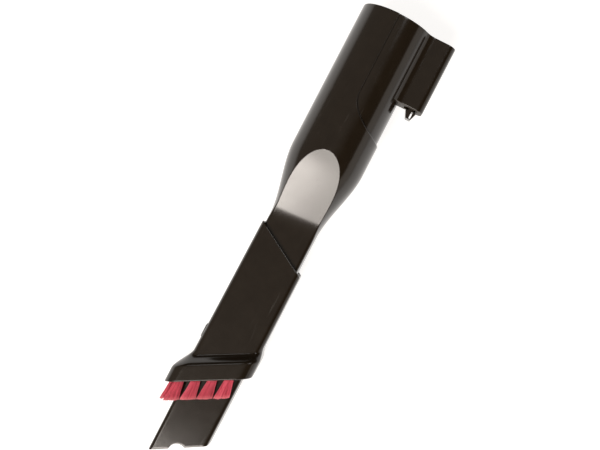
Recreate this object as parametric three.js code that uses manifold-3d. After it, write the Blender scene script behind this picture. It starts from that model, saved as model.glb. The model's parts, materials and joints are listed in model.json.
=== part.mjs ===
// A crevice and dusting tool for a handheld vacuum: a round quick-release connector with a latch box,
// a flat nozzle with a slanted tip, and a brush sleeve that slides along the nozzle.
//
// Tool frame, millimetres: +X towards the latch box, +Y out of the mouth, +Z out of the front face.
// The mouth plane is y = 0 and the tube's axis is the Y axis. A station s is a distance from the mouth
// towards the tip, so y = -s. A slanted station is s = centre + slant * x. The tool lies on its back.
import * as THREE from "three";
import { ParametricGeometry } from "three/addons/geometries/ParametricGeometry.js";
import { mergeVertices } from "three/addons/utils/BufferGeometryUtils.js";
import Module from "manifold-3d";

const wasm = await Module();
wasm.setup();

// ---- Driving dimensions ----
const GAP = 0.3; // running and assembly gap between pieces

const tube = { radius: 19.65, bore: 17.8, boreEnd: 64.3 };
const collar = { outer: 17.5, inner: 15.9, length: 64, tongue: 18.7 };
const cutOut = { straight: 42.5, round: 18 }; // depth of the U-shaped cut-out and of its rounded end

const neck = { from: 77.5, to: 116 }; // the tube narrows to the nozzle's width here
const facet = { apex: 75.1, knee: 8.5, kneeHeight: 15.9, length: 35.65 };
const nozzle = { halfWidth: 13.25, halfDepth: 9, tip: 240.3, ductHalfWidth: 11.05, ductHalfDepth: 7.1 };
const wall = 2.2;
const tipSlant = -0.6; // 31 degrees
const notch = { x: 0.7, radius: 4.8, depth: 1.45 };
const groove = { halfHeight: 3.2, floor: -12.05, from: 176, to: 223 };

const sleeve = { halfWidth: 15.25, halfDepth: 10.7, wall: 1.4, corner: 3.2, top: 127.9, end: 201.3 };
const sleeveTopSlant = 0.577; // 30 degrees, the other way from the tip's
const brushSlant = -0.565;
const flare = { from: 184, to: 193.5, left: -21.45, right: 16.9, halfDepth: 15.8, corner: 6.5 };
const flareFront = { from: 186.6, to: 192.9 }; // the front and rear open out over a shorter length
const pocket = { from: 194.3, wall: 1.4, corner: 5 }; // the hollow in the flare that takes the bristle frame
const button = { from: 179, to: 186.5, halfHeight: 2.6, proud: -16.35, travel: 0.7 };

const frame = { top: 194.6, bottom: 199.9, left: -19.75, right: 13.45, halfDepth: 14.1, innerLeft: -14.15 };
const frameCorner = 4.6;
const tuft = { root: 1.55, rootAt: 196.6, trim: 212.6, pitch: 7.2, depth: 11.95, sideX: -17.3, sidePitch: 8.4 };
const tuftHole = { radius: 1.85, bottom: 195.6 };

const box = { from: 16, seam: 29.6, outer: 32, halfDepth: 7, length: 36.6, corner: 2.3 };
const cavity = { floor: 19.6, halfDepth: 5.6, from: 1.6, to: 34.9 };
const lever = { inner: 24.8, outer: 27.4, halfDepth: 3.2, pivot: 22, hookAt: 10, tail: 41.7, pinRadius: 1.1 };

// ---- Materials ----
const finish = (color, roughness, metalness) => new THREE.MeshStandardMaterial({ color, roughness, metalness });
const blackPlastic = finish(0x211e1a, 0.25, 0);
const satinPlastic = finish(0x1c1a18, 0.5, 0);
const steel = finish(0xb8b8b8, 0.3, 1);
const bristle = finish(0xd4505f, 0.7, 0);

// ---- Solids ----
// A closed geometry as a solid with its faces pointing out.
function solid(geometry) {
  const bare = geometry.clone();
  bare.deleteAttribute("normal");
  bare.deleteAttribute("uv");
  const merged = mergeVertices(bare, 1e-3);
  const index = merged.index.array;
  const faces = [];
  for (let i = 0; i < index.length; i += 3) {
    const [a, b, c] = [index[i], index[i + 1], index[i + 2]];
    if (a !== b && b !== c && c !== a) faces.push([a, b, c]);
  }
  const make = (list) =>
    new wasm.Manifold(
      new wasm.Mesh({
        numProp: 3,
        vertProperties: merged.attributes.position.array,
        triVerts: new Uint32Array(list.flat()),
      }),
    );
  const made = make(faces);
  return made.volume() > 0 ? made : make(faces.map(([a, b, c]) => [a, c, b]));
}

function geometryOf(made) {
  const mesh = made.getMesh();
  const geometry = new THREE.BufferGeometry();
  geometry.setAttribute("position", new THREE.BufferAttribute(new Float32Array(mesh.vertProperties), 3));
  geometry.setIndex(new THREE.BufferAttribute(new Uint32Array(mesh.triVerts), 1));
  return geometry;
}

const joined = (...solids) => solids.reduce((sum, next) => sum.add(next));
const smooth = (from, to, at) => THREE.MathUtils.smoothstep(at, from, to);

// A box between two corners, given as ranges of x, station and z.
function block([x0, x1], [s0, s1], [z0, z1]) {
  const geometry = new THREE.BoxGeometry(x1 - x0, s1 - s0, z1 - z0);
  return solid(geometry.translate((x0 + x1) / 2, -(s0 + s1) / 2, (z0 + z1) / 2));
}

// A cylinder along Y between two stations.
function rod(x, z, radius, s0, s1, sides) {
  const geometry = new THREE.CylinderGeometry(radius, radius, s1 - s0, sides);
  return solid(geometry.translate(x, -(s0 + s1) / 2, z));
}

// A cylinder along Z.
function pin(x, s, radius, halfLength, sides) {
  const geometry = new THREE.CylinderGeometry(radius, radius, 2 * halfLength, sides);
  return solid(geometry.rotateX(Math.PI / 2).translate(x, -s, 0));
}

// A prism along Z: its outline is given as [x, station] corners.
function prism(corners, halfDepth) {
  const shape = new THREE.Shape(corners.map(([x, s]) => new THREE.Vector2(x, -s)));
  const geometry = new THREE.ExtrudeGeometry(shape, { depth: 2 * halfDepth, bevelEnabled: false });
  return solid(geometry.translate(0, 0, -halfDepth));
}

// A shell through rings of equal count: along the outside, back along the inside and closed at both ends.
function shell(rings) {
  const count = rings[0].length;
  const surface = (u, v, target) => {
    const ring = rings[Math.round(v * rings.length) % rings.length];
    target.copy(ring[Math.round(u * count) % count]);
  };
  return solid(new ParametricGeometry(surface, count, rings.length));
}

// ---- Sections ----
// A rounded rectangle at a slanted station.
function rectangleRing([x0, x1], [z0, z1], radius, centre, slant) {
  const steps = 4;
  const corners = [
    [x1 - radius, z1 - radius, 0],
    [x0 + radius, z1 - radius, 1],
    [x0 + radius, z0 + radius, 2],
    [x1 - radius, z0 + radius, 3],
  ];
  return corners.flatMap(([x, z, quarter]) =>
    Array.from({ length: steps + 1 }, (_, i) => {
      const angle = ((quarter + i / steps) * Math.PI) / 2;
      const px = x + radius * Math.cos(angle);
      return new THREE.Vector3(px, -(centre + slant * px), z + radius * Math.sin(angle));
    }),
  );
}

// Height of the flat front facet above the axis at a station.
const facetCurve = new THREE.QuadraticBezierCurve(
  new THREE.Vector2(facet.apex, tube.radius),
  new THREE.Vector2(facet.apex + facet.knee, facet.kneeHeight),
  new THREE.Vector2(facet.apex + facet.length, nozzle.halfDepth),
);

function facetHeight(s) {
  if (s <= facet.apex) return 2 * tube.radius;
  if (s >= facet.apex + facet.length) return nozzle.halfDepth;
  const a = facet.length - 2 * facet.knee;
  const t = (-facet.knee + Math.sqrt(facet.knee ** 2 + a * (s - facet.apex))) / a;
  return facetCurve.getPoint(t).y;
}

// The smaller of two radii, blended over a width.
function blendMin(a, b, width) {
  const overlap = Math.max(width - Math.abs(a - b), 0) / width;
  return Math.min(a, b) - (overlap * overlap * width) / 4;
}

// Outline of the body: a circle that narrows to an ellipse, its sides straighten, and the facets cut it
// in front and behind. The same outline, drawn in by an inset, is the duct.
function bodyRadius(angle, s, inset) {
  const narrow = smooth(neck.from, neck.to, s);
  const halfWidth = THREE.MathUtils.lerp(tube.radius, nozzle.halfWidth, narrow) - inset;
  const straighten = 1 + 3 * smooth(107, 121, s);
  const halfHeight = (tube.radius - inset) * straighten;
  const oval = 1 / Math.hypot(Math.cos(angle) / halfWidth, Math.sin(angle) / halfHeight);
  const rise = Math.max(Math.abs(Math.sin(angle)), 1e-6);
  const flat = (facetHeight(s) - Math.min(inset, nozzle.halfDepth - nozzle.ductHalfDepth)) / rise;
  return blendMin(oval, flat, 0.3 + 1.4 * smooth(107, 121, s));
}

const bodySides = 56;

// Half of each quarter turn's points lie between the side and the nozzle's corner, and half between that
// corner and the front.
function bodyAngle(i) {
  const quarter = bodySides / 4;
  const corner = 0.62;
  const whole = Math.floor(i / quarter);
  const part = (i % quarter) / quarter;
  const fromSide = whole % 2 ? 1 - part : part;
  const below = 2 * corner * fromSide;
  const above = corner + (2 * fromSide - 1) * (Math.PI / 2 - corner);
  const angle = fromSide < 0.5 ? below : above;
  return (whole % 2 ? Math.PI / 2 - angle : angle) + (whole * Math.PI) / 2;
}

function bodyRing(s, inset, slant = 0) {
  return Array.from({ length: bodySides }, (_, i) => {
    const angle = bodyAngle(i);
    const radius = bodyRadius(angle, s, inset);
    const x = radius * Math.cos(angle);
    return new THREE.Vector3(x, -(s + slant * x), radius * Math.sin(angle));
  });
}

function roundRing(s, radius) {
  return Array.from({ length: bodySides }, (_, i) => {
    const angle = bodyAngle(i);
    return new THREE.Vector3(radius * Math.cos(angle), -s, radius * Math.sin(angle));
  });
}

// ---- Connector ----
// A curved block on the right half of the tube, from one radius to another, down to the U-shaped edge.
// The margin widens it on all its edges.
function tongueBlock(innerRadius, outerRadius, margin, top) {
  const geometry = new THREE.BoxGeometry(1, 1, 1, 24, 1, 1);
  const place = geometry.attributes.position;
  const spare = margin / tube.radius;
  for (let i = 0; i < place.count; i++) {
    const across = 2 * place.getX(i);
    const angle = across * (Math.PI / 2 + spare);
    const radius = place.getZ(i) > 0 ? outerRadius : innerRadius;
    const edge = cutOut.straight + margin + cutOut.round * Math.sqrt(1 - across * across);
    const s = place.getY(i) > 0 ? top : edge;
    place.setXYZ(i, radius * Math.cos(angle), -s, radius * Math.sin(angle));
  }
  return solid(geometry);
}

function makeNozzleBody() {
  const stations = [60, 68, 75.1, 76.3, 78, 80, 83, 86, 90, 95, 100, 105, 109, 112, 116, 121];
  const outer = [0, ...stations].map((s) => bodyRing(s, 0));
  const inner = [112, 104, 96, 88, 80, 75.1, 67].map((s) => bodyRing(s, wall));
  const rings = [
    ...outer,
    bodyRing(nozzle.tip, 0, tipSlant),
    bodyRing(nozzle.tip, wall, tipSlant),
    ...inner,
    roundRing(tube.boreEnd, collar.outer - 0.6),
    roundRing(tube.boreEnd, tube.bore),
    roundRing(0, tube.bore),
  ];
  const tipAtNotch = nozzle.tip + tipSlant * notch.x;
  const notchCut = pin(notch.x, tipAtNotch + notch.radius - notch.depth, notch.radius, 12, 24);
  const grooveHeight = [-groove.halfHeight, groove.halfHeight];
  const grooveCut = block([-20, groove.floor], [groove.from, groove.to], grooveHeight);
  const cutOutBlock = tongueBlock(tube.bore - 0.5, tube.radius + 4, 0.25, -1);
  return shell(rings).subtract(notchCut).subtract(grooveCut).subtract(cutOutBlock);
}

// The latch box's section, as a prism along the tube.
function boxPrism(x0, x1, cornerRadius) {
  const half = box.halfDepth;
  const shape = new THREE.Shape();
  shape.moveTo(x0, -half);
  shape.lineTo(x1 - cornerRadius, -half);
  if (cornerRadius) shape.absarc(x1 - cornerRadius, -half + cornerRadius, cornerRadius, -Math.PI / 2, 0);
  if (cornerRadius) shape.absarc(x1 - cornerRadius, half - cornerRadius, cornerRadius, 0, Math.PI / 2);
  shape.lineTo(x1 - cornerRadius, half);
  shape.lineTo(x0, half);
  const options = { depth: box.length, bevelEnabled: false, curveSegments: 5 };
  return solid(new THREE.ExtrudeGeometry(shape, options).rotateX(Math.PI / 2));
}

function makeConnectorCollar() {
  const pipe = rod(0, 0, collar.outer, 0, collar.length, bodySides);
  const bore = rod(0, 0, collar.inner, -1, collar.length + 1, bodySides);
  const tongue = tongueBlock(collar.inner + 0.8, collar.tongue, 0, 0);
  const cavityDepth = [-cavity.halfDepth, cavity.halfDepth];
  const cavityCut = block([cavity.floor, 40], [cavity.from, cavity.to], cavityDepth);
  const windowCut = block([cavity.floor, 27], [-1, cavity.from + 1], [-4.6, 4.6]);
  const tailSlot = block([22.2, 28.4], [cavity.to - 1, box.length + 1], [-3.6, 3.6]);
  const pinHole = pin(26.1, lever.pivot, lever.pinRadius + 0.1, 6.2, 20);
  return joined(pipe, tongue, boxPrism(box.from, box.seam, 0))
    .subtract(bore)
    .subtract(cavityCut)
    .subtract(windowCut)
    .subtract(tailSlot)
    .subtract(pinHole);
}

function makeLatchCover() {
  const snapReach = 3;
  const lid = boxPrism(box.seam + GAP, box.outer, box.corner - GAP);
  const snaps = [-1, 1].map((side) => {
    const z = [side * (cavity.halfDepth - GAP), side * (cavity.halfDepth - 1.5)].sort((a, b) => a - b);
    return block([box.seam - snapReach, box.seam + 1], [12, 17], z);
  });
  return joined(lid, ...snaps);
}

// A bar on the pin, with a hook nose by the mouth and a wedge-shaped thumb tail outside the box.
function makeLatchLever() {
  const { inner, outer, pivot, hookAt, tail } = lever;
  const shoulder = box.length + 0.9; // clears the box end when the lever is pressed
  const outline = [
    [outer, hookAt - 1],
    [21.2, hookAt - 1],
    [21.8, hookAt + 1],
    [inner, hookAt + 3.5],
    [inner, pivot - 3.5],
    [inner - 1, pivot],
    [inner, pivot + 3.5],
    [inner, shoulder - 0.1],
    [23.4, shoulder],
    [25.2, tail],
    [27.9, tail],
    [29.3, shoulder],
    [outer, shoulder - 0.1],
    [outer, pivot + 3.5],
    [outer + 1, pivot],
    [outer, pivot - 3.5],
  ];
  return prism(outline, lever.halfDepth).subtract(pin(26.1, lever.pivot, lever.pinRadius + 0.08, 9, 20));
}

const makeLatchPin = () => pin(26.1, lever.pivot, lever.pinRadius, 6, 20);

class Helix extends THREE.Curve {
  constructor(radius, turns, length) {
    super();
    Object.assign(this, { radius, turns, length });
  }
  getPoint(t, target = new THREE.Vector3()) {
    const angle = 2 * Math.PI * this.turns * t;
    return target.set(this.length * t, this.radius * Math.cos(angle), this.radius * Math.sin(angle));
  }
}

// A coil between the box's floor and the lever's tail side.
function makeLatchSpring() {
  const wire = new THREE.Shape().absarc(0, 0, 0.3, 0, 2 * Math.PI);
  const path = new Helix(1.8, 3, lever.inner - cavity.floor - 2 * GAP - 0.7);
  const options = { steps: 42, extrudePath: path, curveSegments: 3, bevelEnabled: false };
  const geometry = new THREE.ExtrudeGeometry(wire, options);
  return solid(geometry.translate(cavity.floor + GAP + 0.35, -30, 0));
}

// ---- Brush sleeve ----
function makeBrushSleeve() {
  const { halfWidth, halfDepth, top, end } = sleeve;
  const innerWidth = halfWidth - sleeve.wall;
  const innerDepth = halfDepth - sleeve.wall;
  const outside = (centre) => {
    const open = smooth(flare.from, flare.to, centre);
    const frontOpen = smooth(flareFront.from, flareFront.to, centre);
    const left = THREE.MathUtils.lerp(-halfWidth, flare.left, open);
    const right = THREE.MathUtils.lerp(halfWidth, flare.right, open);
    const depth = THREE.MathUtils.lerp(halfDepth, flare.halfDepth, frontOpen);
    const corner = THREE.MathUtils.lerp(sleeve.corner, flare.corner, open);
    return rectangleRing([left, right], [-depth, depth], corner, centre, brushSlant);
  };
  const pocketDepth = flare.halfDepth - pocket.wall;
  const pocketRing = (centre) => {
    const width = [flare.left + pocket.wall, innerWidth];
    return rectangleRing(width, [-pocketDepth, pocketDepth], pocket.corner, centre, brushSlant);
  };
  const bore = (centre, slant) =>
    rectangleRing([-innerWidth, innerWidth], [-innerDepth, innerDepth], 0.9, centre, slant);
  const made = shell([
    rectangleRing([-halfWidth, halfWidth], [-halfDepth, halfDepth], sleeve.corner, top, sleeveTopSlant),
    ...[184, 186.5, 188, 189, 190, 191.5, 193.5, end].map(outside),
    pocketRing(end),
    pocketRing(pocket.from),
    bore(pocket.from, brushSlant),
    bore(top, sleeveTopSlant),
  ]);
  const slotHeight = [-button.halfHeight - GAP, button.halfHeight + GAP];
  return made.subtract(block([-20, -10], [button.from - GAP, button.to + GAP], slotHeight));
}

function makeSlideButton() {
  const inside = -sleeve.halfWidth + sleeve.wall + GAP;
  const z = [-button.halfHeight, button.halfHeight];
  const cap = block([button.proud, inside + 0.2], [button.from, button.to], z);
  const flange = block([inside, inside + 0.6], [button.from - 1, button.to + 1], z);
  return cap.add(flange);
}

const makeButtonSpring = () => block([-12.6, -12.35], [button.from - 0.5, button.to + 0.5], [-1.5, 1.5]);

// ---- Brush ----
// Where each tuft stands, [name, x, z]: a row in front, a row behind and a short row on the narrow side.
const across = [0, 1, 2, 3];
const places = [
  ...across.map((i) => [`front_${i + 1}`, tuft.pitch * (1 - i), tuft.depth]),
  ...across.map((i) => [`rear_${i + 1}`, tuft.pitch * (1 - i), -tuft.depth]),
  ["side_1", tuft.sideX, tuft.sidePitch / 2],
  ["side_2", tuft.sideX, -tuft.sidePitch / 2],
];
const slantedAt = (centre, x) => centre + brushSlant * x;

function makeBristleFrame() {
  const { left, right, halfDepth, innerLeft, top, bottom } = frame;
  const band = (xs, zs, radius) => [
    rectangleRing(xs, zs, radius, top, brushSlant),
    rectangleRing(xs, zs, radius, bottom, brushSlant),
  ];
  const innerDepth = sleeve.halfDepth - sleeve.wall + GAP;
  const [outerTop, outerBottom] = band([left, right], [-halfDepth, halfDepth], frameCorner);
  const [innerTop, innerBottom] = band([innerLeft, right - 2], [-innerDepth, innerDepth], 0.9);
  const ring = shell([outerTop, outerBottom, innerBottom, innerTop]);
  const opening = block([innerLeft + 5, right + 5], [170, 220], [-innerDepth, innerDepth]);
  const holes = places.map(([, x, z]) =>
    rod(x, z, tuftHole.radius, slantedAt(tuftHole.bottom, x), slantedAt(bottom, x) + 3, 12),
  );
  return holes.reduce((rest, hole) => rest.subtract(hole), ring.subtract(opening));
}

// A tuft: round at its root, spread and trimmed on the slant at its end.
function makeTuft(x, z) {
  const isSide = x === tuft.sideX;
  const rootStation = slantedAt(tuft.rootAt, x);
  const end = isSide
    ? { x: [-20.6, -14.2], z: [z - 3.6, z + 3.6] }
    : { x: [x - 3.35, x + 3.35], z: z > 0 ? [9.7, 14.9] : [-14.9, -9.7] };
  const straight = 0.25; // the share of its length that stands in the hole
  const geometry = new THREE.CylinderGeometry(1, 1, 1, 12, 4);
  const place = geometry.attributes.position;
  for (let i = 0; i < place.count; i++) {
    const [wide, deep] = [place.getX(i), place.getZ(i)];
    const along = 0.5 - place.getY(i);
    const spread = Math.max(0, along - straight) / (1 - straight);
    const endX = (end.x[0] + end.x[1]) / 2 + (wide * (end.x[1] - end.x[0])) / 2;
    const endZ = (end.z[0] + end.z[1]) / 2 + (deep * (end.z[1] - end.z[0])) / 2;
    const px = THREE.MathUtils.lerp(x + wide * tuft.root, endX, spread);
    const pz = THREE.MathUtils.lerp(z + deep * tuft.root, endZ, spread);
    const s = THREE.MathUtils.lerp(rootStation, slantedAt(tuft.trim, px), along);
    place.setXYZ(i, px, -s, pz);
  }
  return solid(geometry);
}

// The flat wire anchor at the bottom of a tuft's hole.
function makeStaple(x, z) {
  const s = slantedAt(tuftHole.bottom, x);
  return block([x - 1.2, x + 1.2], [s + 0.25, s + 0.65], [z - 0.25, z + 0.25]);
}

// ---- Assembly ----
const group = new THREE.Group();
const tool = new THREE.Group();
group.add(tool);

function add(name, made, material) {
  const mesh = new THREE.Mesh(geometryOf(made), material.clone());
  mesh.name = name;
  tool.add(mesh);
}

add("nozzle_body", makeNozzleBody(), blackPlastic);
add("connector_collar", makeConnectorCollar(), blackPlastic);
add("latch_cover", makeLatchCover(), blackPlastic);
add("latch_lever", makeLatchLever(), blackPlastic);
add("latch_pin", makeLatchPin(), steel);
add("latch_spring", makeLatchSpring(), steel);
add("brush_sleeve", makeBrushSleeve(), blackPlastic);
add("slide_button", makeSlideButton(), satinPlastic);
add("slide_button_spring", makeButtonSpring(), steel);
add("bristle_frame", makeBristleFrame(), satinPlastic);
for (const [name, x, z] of places) {
  add(`tuft_${name}`, makeTuft(x, z), bristle);
  add(`staple_${name}`, makeStaple(x, z), steel);
}

// The tool lies on its back, on the end of the round tube and on the flare's rear edge, so it is tipped down
// a little towards its tip. The origin is at the middle of its footprint.
const flareFoot = slantedAt(sleeve.end, flare.left + flare.corner);
tool.rotation.x = Math.atan((tube.radius - flare.halfDepth) / (flareFoot - facet.apex));
tool.updateMatrixWorld(true);
const bounds = new THREE.Box3().setFromObject(tool, true);
const middle = bounds.getCenter(new THREE.Vector3());
tool.position.set(-middle.x, -middle.y, -bounds.min.z);

export default group;
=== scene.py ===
"""Looks of a crevice and dusting tool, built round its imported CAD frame.

Shapes are made in the tool frame, in millimetres: +X towards the latch box, +Y out of the connector's mouth,
+Z out of the front face, with the round tube's axis on Y and its mouth at y = 0. A station s is a distance
from the mouth towards the tip. A slanted station is s = centre + slant * x. The tool frame is placed in the
row's frame by the record's mouth_rim mount and brush_slide joint.
"""
import json
import math
import random

import bmesh
import bpy
import numpy as np
from mathutils import Matrix, Vector


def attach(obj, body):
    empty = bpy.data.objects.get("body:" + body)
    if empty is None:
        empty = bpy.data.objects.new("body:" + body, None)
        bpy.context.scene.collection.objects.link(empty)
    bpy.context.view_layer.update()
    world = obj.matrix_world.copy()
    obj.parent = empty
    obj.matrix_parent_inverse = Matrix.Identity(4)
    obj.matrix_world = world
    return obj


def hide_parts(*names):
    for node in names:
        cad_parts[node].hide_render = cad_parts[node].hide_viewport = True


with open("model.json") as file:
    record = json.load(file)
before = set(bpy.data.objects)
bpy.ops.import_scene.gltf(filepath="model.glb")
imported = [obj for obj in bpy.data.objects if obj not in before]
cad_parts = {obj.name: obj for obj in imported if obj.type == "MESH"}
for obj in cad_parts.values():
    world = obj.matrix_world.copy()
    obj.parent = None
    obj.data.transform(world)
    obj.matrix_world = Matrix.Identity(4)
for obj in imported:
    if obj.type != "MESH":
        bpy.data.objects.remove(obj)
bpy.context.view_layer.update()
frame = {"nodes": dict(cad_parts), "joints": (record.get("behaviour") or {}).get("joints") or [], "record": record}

MM = 0.001

# ---- Sizes, mm ----
# Tube and collar, with the U-shaped cut-out of the tube that the collar's tongue fills.
TUBE_R, TUBE_DRAFT, TUBE_BORE, BORE_END = 19.65, 0.3, 17.8, 64.3
COLLAR_R, COLLAR_BORE, COLLAR_LENGTH, TONGUE_R = 17.5, 15.9, 64.0, 18.7
CUT_STRAIGHT, CUT_ROUND = 42.5, 18.0
# Half the seam's width, and the radii of the edges along the seam and round the mouth.
SEAM, LIP, MOUTH_EDGE = 0.06, 0.7, 0.5

# The round neck narrows between two stations, then its sides flatten and its corners take their radius.
NECK_FROM, NECK_TO = 77.5, 116.0
FLAT_FROM, FLAT_TO, SIDE_FLATNESS = 107.0, 121.0, 0.35
CORNER_FROM, CORNER_TO, CREASE_BLEND, CORNER_BLEND = 106.0, 120.0, 0.22, 2.2
FACET_APEX, FACET_KNEE, FACET_KNEE_HEIGHT, FACET_LENGTH, FACET_EASE = 75.1, 8.5, 15.9, 35.65, 1.3
# How much longer the facet is at x = 0 than FACET_LENGTH, and how that falls for each mm of x.
FACET_STRETCH, FACET_STRETCH_SLANT, FACET_HALF_WIDTH = 3.2, 0.12, 13
NOZZLE_HALF_WIDTH, NOZZLE_HALF_DEPTH, NOZZLE_TIP = 13.25, 9.0, 239.95
DUCT_HALF_DEPTH, WALL = 7.1, 2.2
TIP_SLANT, BRUSH_SLANT, SLEEVE_TOP_SLANT = -0.6, -0.565, 0.577
# The body's rows are square to the axis as far as this station, and slant more and more beyond it.
SLANT_FROM = 121
NOTCH_X, NOTCH_RADIUS, NOTCH_DEPTH, NOTCH_FADE = 0.7, 4.8, 1.8, 9
GROOVE_FLOOR, GROOVE_HALF, GROOVE_FROM, GROOVE_TO = 12.05, 3.2, 176.0, 223.0
GROOVE_END_RAMP, GROOVE_END_SLOPE = 0.5, 0.6
# Points in each row of the body.
COLUMNS = 361

# Brush sleeve, its flare and its button. Left and right are x of the flare's sides at the front.
SLEEVE_HALF_WIDTH, SLEEVE_HALF_DEPTH, SLEEVE_GAP = 15.25, 10.7, 0.18
SLEEVE_TOP, SLEEVE_END = 127.9, 201.3
FLARE_FROM, FLARE_TO, FLARE_LEFT, FLARE_RIGHT, FLARE_HALF_DEPTH = 184.0, 193.5, -21.1, 16.85, 15.8
SLEEVE_CORNER, FLARE_CORNER, SLEEVE_TAPER = 3.2, 6.5, 1.0
FLARE_FRONT_FROM, FLARE_FRONT_TO = 186.6, 192.9
POCKET_FROM, POCKET_WALL = 194.3, 1.4
BUTTON_FROM, BUTTON_TO, BUTTON_HALF, BUTTON_PROUD = 179.0, 186.5, 2.6, 16.3

# Latch box, with the cavity for the lever.
BOX_SEAM, BOX_OUTER, BOX_HALF, BOX_LENGTH, BOX_CORNER = 29.6, 32.0, 7.0, 36.6, 4.0
BOX_TOP, BOX_FILLET = 0.1, 6.5
CAVITY_FLOOR, CAVITY_HALF, CAVITY_FROM, CAVITY_TO = 19.6, 5.6, 1.6, 34.9

# Stations of a tuft's root and of its cut end, at x = 0, and its radius at the root.
TUFT_ROOT, TUFT_TRIM, TUFT_RADIUS = 196.9, 211.6, 1.5


# ---- Tool frame ----
def tool_frame():
    """The matrix from the tool frame, in metres, to the row's frame."""
    slide = next(j for j in frame["joints"] if j["name"] == "brush_slide")
    rim = next(m for m in frame["record"]["mounts"] if m["name"] == "mouth_rim")
    along = -Vector(slide["axis"]).normalized()
    right = Vector((1, 0, 0))
    front = right.cross(along).normalized()
    rim_radius = (COLLAR_BORE + COLLAR_R) / 2 * MM
    origin = Vector(rim["pos_m"]) - front * rim_radius
    turn = Matrix((right, along, front)).transposed().to_4x4()
    return Matrix.Translation(origin) @ turn


TOOL = tool_frame()
PLACE = TOOL @ Matrix.Scale(MM, 4)


# ---- Camera ----
def make_camera():
    """Looks down the tool's front face from half a metre, with the tool leaning across the frame."""
    distance, lens, lean = 480.0, 57.0, math.radians(3.0)
    target = Vector((2.85, -113.6, 0.0))
    across = math.radians(27.29)
    image_right = Vector((math.cos(across), math.sin(across), 0))
    image_up = Vector((-math.sin(across), math.cos(across), 0))
    turn = Matrix.Rotation(lean, 3, "Y")
    axes = [turn @ v for v in (image_right, image_up, Vector((0, 0, 1)))]
    pose = Matrix(axes).transposed().to_4x4()
    pose.translation = target + axes[2] * distance
    data = bpy.data.cameras.new("camera")
    data.lens, data.sensor_width = lens, 36.0
    data.clip_start, data.clip_end = 0.05, 20.0
    camera = bpy.data.objects.new("camera", data)
    bpy.context.scene.collection.objects.link(camera)
    location, rotation, _ = (PLACE @ pose).decompose()
    camera.matrix_world = Matrix.LocRotScale(location, rotation, None)
    bpy.context.scene.camera = camera


make_camera()


# ---- Materials ----
class Nodes:
    """Short calls for the node tree of a material or a world."""

    def __init__(self, owner):
        owner.use_nodes = True
        self.material = owner
        self.tree = owner.node_tree
        self.shader = self.tree.nodes.get("Principled BSDF")

    def add(self, kind, inputs=None, **settings):
        node = self.tree.nodes.new(kind)
        for key, value in settings.items():
            setattr(node, key, value)
        for key, value in (inputs or {}).items():
            self.put(node.inputs[key], value)
        return node

    def put(self, socket, value):
        if isinstance(value, bpy.types.NodeSocket):
            self.tree.links.new(value, socket)
        else:
            socket.default_value = value

    def set(self, **inputs):
        for key, value in inputs.items():
            self.put(self.shader.inputs[key.replace("_", " ")], value)

    def place(self):
        return self.add("ShaderNodeTexCoord").outputs["Object"]

    def noise(self, scale, detail=3.0, roughness=0.5, at=None):
        at = at or self.place()
        inputs = {"Vector": at, "Scale": scale, "Detail": detail, "Roughness": roughness}
        return self.add("ShaderNodeTexNoise", inputs).outputs["Fac"]

    def ramp(self, value, low, high, to_low=0.0, to_high=1.0):
        inputs = {"Value": value, "From Min": low, "From Max": high, "To Min": to_low, "To Max": to_high}
        return self.add("ShaderNodeMapRange", inputs).outputs["Result"]

    def mix(self, factor, a, b):
        node = self.add("ShaderNodeMix", data_type="RGBA")
        self.put(node.inputs[0], factor)
        self.put(node.inputs[6], a)
        self.put(node.inputs[7], b)
        return node.outputs[2]

    def math(self, operation, a, b):
        node = self.add("ShaderNodeMath", operation=operation)
        self.put(node.inputs[0], a)
        self.put(node.inputs[1], b)
        return node.outputs[0]

    def bump(self, height, strength, distance, normal=None):
        inputs = {"Height": height, "Strength": strength, "Distance": distance}
        node = self.add("ShaderNodeBump", inputs)
        if normal:
            self.put(node.inputs["Normal"], normal)
        return node.outputs["Normal"]


def gloss_plastic():
    """Glossy warm-black ABS: a fine moulded skin, soft flow waves, handling scuffs and a little dust."""
    n = Nodes(bpy.data.materials.new("gloss_black_plastic"))
    at = n.place()
    flow = n.noise(38.0, 2.0, 0.4, at)
    skin = n.noise(1900.0, 2.0, 0.6, at)
    haze = n.noise(160.0, 5.0, 0.62, at)
    lengthwise = {"Vector": at, "Scale": (900.0, 60.0, 900.0), "Rotation": (0, 0, 0.5)}
    stretched = n.add("ShaderNodeMapping", lengthwise)
    scuff = n.ramp(n.noise(1.0, 3.0, 0.6, stretched.outputs[0]), 0.62, 0.74)
    patch = n.ramp(n.noise(24.0, 3.0, 0.5, at), 0.45, 0.65)
    scratches = n.math("MULTIPLY", scuff, patch)
    colour = n.mix(n.ramp(haze, 0.35, 0.7), (0.0125, 0.0083, 0.0046, 1), (0.0155, 0.0106, 0.0062, 1))
    colour = n.mix(n.math("MULTIPLY", scratches, 0.35), colour, (0.045, 0.040, 0.034, 1))
    rough = n.ramp(haze, 0.3, 0.75, 0.13, 0.15)
    rough = n.math("ADD", rough, n.math("MULTIPLY", scratches, 0.16))
    normal = n.bump(flow, 0.02, 0.0012)
    normal = n.bump(skin, 0.05, 0.00006, normal)
    normal = n.bump(scratches, 0.08, 0.00004, normal)
    n.set(Base_Color=colour, Roughness=rough, Normal=normal, IOR=1.5)
    return n.material


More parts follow.
